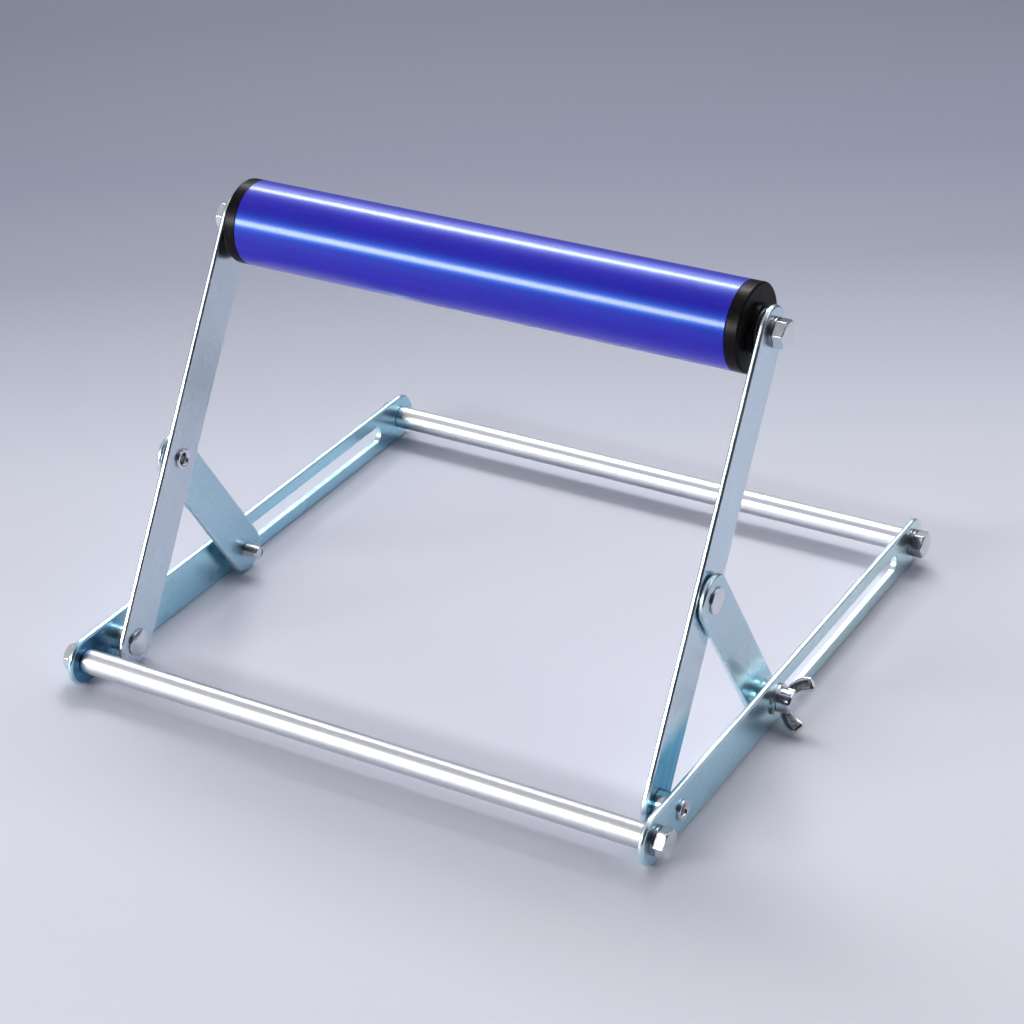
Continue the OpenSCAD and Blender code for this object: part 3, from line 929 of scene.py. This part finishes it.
def draw_wing_screw(name, side):
    """Cast boss and two smooth wings, melted into one skin, on a threaded shank"""
    rough = bmesh.new()
    revolve(rough, [(0, 0), (4.0, 0), (3.95, 3.9), (3.5, 4.6), (0, 4.75)], steps=64)
    soften(rough, 0.3)
    for angle in (0, math.pi):
        join(rough, wing(angle))
    bm = melted(rough)
    shank(bm, -13.1, 0.5, -2.5)
    turn_in_view(bm, side, 50)
    where = outward(side, BAR_OUT + 1, SCREW_Y, AXIS_Z)
    stand_piece(bm, name, where, cast_finish, weighted=False)


def draw_roller_tube(name):
    """Blue tube between the end caps"""
    bm = bmesh.new()
    revolve(bm, [(TUBE_BORE_R, -TUBE_END), (TUBE_R, -TUBE_END),
                 (TUBE_R, TUBE_END), (TUBE_BORE_R, TUBE_END)], steps=192, closed=True)
    soften(bm, 0.18)
    stand_piece(bm, name, outward(RIGHT, 0, *ROLLER), blue_finish)


def draw_roller_cap(name, side):
    """Moulded cap: a plug in the tube, a rounded lip over its end and a raised hub"""
    bm = bmesh.new()
    bore, plug_r, lip_r, hub_r = 5.58, 11.98, 0.7, 7.5
    chamfer = 0.18
    lip = arc((TUBE_R - lip_r, 3.5), lip_r, 0, 90, 6)
    revolve(bm, [
        (bore, -CAP_DEPTH), (plug_r, -CAP_DEPTH), (plug_r, 0.0),
        (TUBE_R - chamfer, 0.0), (TUBE_R, chamfer), *lip,
        (hub_r, 4.2), (hub_r, CAP_HUB), (bore, CAP_HUB),
    ], steps=160, closed=True)
    soften(bm, 0.2)
    stand_piece(bm, name, outward(side, TUBE_END, *ROLLER), black_finish)


def draw_roller_bush(name, side):
    """Plastic bush on the axle with a flange outside the cap's hub"""
    bm = bmesh.new()
    bore, outer, flange_r, flange_top = 4.06, 5.56, 6.5, 6.8
    revolve(bm, [
        (bore, -CAP_DEPTH), (outer, -CAP_DEPTH), (outer, CAP_HUB),
        (flange_r, CAP_HUB), (flange_r, flange_top), (bore, flange_top),
    ], closed=True)
    soften(bm, 0.15, 2)
    stand_piece(bm, name, outward(side, TUBE_END, *ROLLER), bush_finish)


# Turns of each bolt's head and of its washer's split, in degrees of the side view
FRONT_TURNS = {LEFT: (8, 21), RIGHT: (21, 14)}
REAR_TURNS = {LEFT: (14, 27), RIGHT: (27, 8)}
AXLE_TURNS = {LEFT: (11, 8), RIGHT: (19, 21)}


def draw_bolt_and_washer(bolt, washer, side, face, y, z, turns):
    """Hexagon bolt with its spring washer on the face of a plate"""
    head_turn, split_turn = turns
    draw_hex_bolt(bolt, side, face + SPRING_T, y, z, head_turn)
    draw_spring_washer(washer, side, face, y, z, split_turn)


draw_tapped_bar("front_cross_rod", BAR_IN, -ROD_Y, AXIS_Z)
draw_tapped_bar("rear_cross_rod", BAR_IN, ROD_Y, AXIS_Z)
draw_tapped_bar("roller_axle", ARM_IN, *ROLLER)
draw_roller_tube("roller_tube")
for word, side in SIDES:
    draw_base_bar("base_bar_" + word, side)
    draw_arm("arm_" + word, side)
    draw_strut("strut_" + word, side)
    for end, y, turns in (("front_", -ROD_Y, FRONT_TURNS), ("rear_", ROD_Y, REAR_TURNS)):
        draw_bolt_and_washer("base_bolt_" + end + word, "spring_washer_" + end + word,
                             side, BAR_OUT, y, AXIS_Z, turns[side])
    draw_bolt_and_washer("axle_bolt_" + word, "axle_spring_washer_" + word,
                         side, ARM_OUT, *ROLLER, AXLE_TURNS[side])
    draw_rivet("pivot_rivet_" + word, side, ARM_IN - PLAY, PIVOT_Y, AXIS_Z,
               head_r=4.5, head_h=1.8, grip=9.7, head_outside=False)
    draw_rivet("middle_rivet_" + word, side, STRUT_OUT + PLAY, *MIDDLE,
               head_r=4.0, head_h=1.1, grip=4.6, head_outside=True)
    draw_flat_washer("pivot_spacer_" + word, side, ARM_OUT + PLAY, PIVOT_Y, AXIS_Z,
                     outer=4.25, inner=PRESSED_HOLE_R, thick=5.5)
    draw_flat_washer("middle_washer_" + word, side, ARM_OUT, *MIDDLE,
                     outer=5.0, inner=PRESSED_HOLE_R, thick=0.4)
    draw_flat_washer("wing_washer_" + word, side, BAR_OUT + 0.03, SCREW_Y, AXIS_Z,
                     outer=5.0, inner=BOLT_HOLE_R, thick=0.95)
    draw_wing_screw("wing_screw_" + word, side)
    draw_roller_cap("roller_cap_" + word, side)
    draw_roller_bush("roller_bush_" + word, side)


# ---- Studio ---------------------------------------------------------------------------

def studio_floor():
    """Pale matt floor, lighter in front and falling off to the back"""
    material = bpy.data.materials.new("studio_floor")
    material.use_nodes = True
    tree = material.node_tree
    shader = tree.nodes["Principled BSDF"]
    place = add(tree, "ShaderNodeTexCoord").outputs["Object"]
    depth = add(tree, "ShaderNodeVectorMath", {0: place, 1: (-0.521, 0.853, 0.0)},
                operation="DOT_PRODUCT").outputs["Value"]
    ramp = add(tree, "ShaderNodeValToRGB", {"Fac": level(tree, depth, 0.0, 1.0, -0.8, 0.6)})
    stops = (
        (0.16, (0.42, 0.42, 0.46)),
        (0.33, (0.67, 0.673, 0.755)),
        (0.50, (0.66, 0.662, 0.745)),
        (0.575, (0.60, 0.605, 0.685)),
        (0.65, (0.515, 0.53, 0.61)),
        (0.71, (0.38, 0.40, 0.48)),
        (0.77, (0.25, 0.268, 0.345)),
        (0.85, (0.18, 0.198, 0.27)),
        (1.0, (0.135, 0.15, 0.205)),
    )
    elements = ramp.color_ramp.elements
    while len(elements) < len(stops):
        elements.new(0.5)
    for element, (spot, colour) in zip(elements, stops):
        element.position = spot
        element.color = (*colour, 1)
    feed(shader, "Base Color", ramp.outputs[0])
    feed(shader, "Roughness", level(tree, noise(tree, place, 900.0, 2.0), 0.6, 0.8, 0.0, 1.0))
    return material


def lay_floor():
    """Floor that reaches past every view, under the stand"""
    bm = bmesh.new()
    bmesh.ops.create_grid(bm, x_segments=8, y_segments=8, size=30.0)
    mesh = bpy.data.meshes.new("floor")
    bm.to_mesh(mesh)
    bm.free()
    mesh.materials.append(studio_floor())
    floor = bpy.data.objects.new("floor", mesh)
    bpy.context.scene.collection.objects.link(floor)


def softbox(name, direction, distance, length, width, radiance, diffuse=True, glossy=True):
    """Soft strip lamp of an even brightness that faces the stand, its length across it"""
    data = bpy.data.lights.new(name, "AREA")
    data.shape = "RECTANGLE"
    data.size = length
    data.size_y = width
    data.energy = radiance * math.pi * length * width
    lamp = bpy.data.objects.new(name, data)
    target = Vector((0, 0, 0.06))
    way = Vector(direction).normalized()
    across = (Vector((1, 0, 0)) - way * way.x).normalized()
    turned = Matrix((across, way.cross(across), way)).transposed().to_4x4()
    lamp.matrix_world = Matrix.Translation(target + way * distance) @ turned
    lamp.visible_diffuse = diffuse
    lamp.visible_glossy = glossy
    bpy.context.scene.collection.objects.link(lamp)


def studio_surround():
    """Soft surround, brightest overhead and dark towards the front and right"""
    world = bpy.data.worlds.new("studio")
    bpy.context.scene.world = world
    world.use_nodes = True
    tree = world.node_tree
    way = add(tree, "ShaderNodeTexCoord").outputs["Generated"]
    height = add(tree, "ShaderNodeSeparateXYZ", {"Vector": way}).outputs["Z"]
    facing = add(tree, "ShaderNodeVectorMath", {0: way, 1: (0.70, -0.71, 0.0)},
                 operation="DOT_PRODUCT").outputs["Value"]
    rise = level(tree, height, 0.0, 1.0, 0.05, 0.75, smooth=True)
    share = level(tree, facing, 0.0, 1.0, -0.15, 0.6, smooth=True)
    upper = blend(tree, rise, (0.13, 0.14, 0.17), (0.52, 0.52, 0.56))
    lit = blend(tree, share, upper, (0.03, 0.03, 0.036))
    seen = add(tree, "ShaderNodeLightPath").outputs["Is Camera Ray"]
    feed(tree.nodes["Background"], "Color", blend(tree, seen, lit, (0.45, 0.47, 0.55)))


def aim_camera():
    """Camera fitted to the edges of the stand in the photograph"""
    heading, fall, roll = math.radians(31.424), math.radians(29.705), math.radians(-2.322)
    place = Vector((378.43, -615.14, 452.37)) * MM
    focal_pixels = 2624.18
    picture_pixels = 1024
    ahead = Vector((-math.sin(heading) * math.cos(fall), math.cos(heading) * math.cos(fall),
                    -math.sin(fall)))
    right = ahead.cross(Vector((0, 0, 1))).normalized()
    up = right.cross(ahead)
    rolled_right = math.cos(roll) * right + math.sin(roll) * up
    rolled_up = -math.sin(roll) * right + math.cos(roll) * up
    data = bpy.data.cameras.new("camera")
    data.sensor_width = 36.0
    data.lens = focal_pixels / picture_pixels * data.sensor_width
    data.clip_start = 0.05
    data.clip_end = 30.0
    camera = bpy.data.objects.new("camera", data)
    turned = Matrix((rolled_right, rolled_up, -ahead)).transposed().to_4x4()
    camera.matrix_world = Matrix.Translation(place) @ turned
    bpy.context.scene.collection.objects.link(camera)
    bpy.context.scene.camera = camera


lay_floor()

# A fill only lights surfaces; its sheen, in about the same place, only shows in gloss
FRONT_WAY = (-0.478, -0.819, 0.317)
softbox("top_fill", (-0.25, 0.62, 0.744), 1.4, 1.12, 0.30, 11.2, glossy=False)
softbox("top_sheen", (-0.25, 0.537, 0.805), 1.4, 1.12, 0.21, 34.0, diffuse=False)
softbox("front_fill", FRONT_WAY, 1.4, 0.75, 0.13, 32.0, glossy=False)
softbox("front_sheen", FRONT_WAY, 1.4, 0.75, 0.21, 58.0, diffuse=False)
softbox("back_panel", (-0.1, 0.80, 0.60), 1.7, 2.6, 0.36, 1.0)
softbox("right_panel", (0.72, 0.28, 0.63), 1.6, 1.1, 1.1, 1.0)

studio_surround()
bpy.context.scene.view_settings.view_transform = "Standard"
aim_camera()
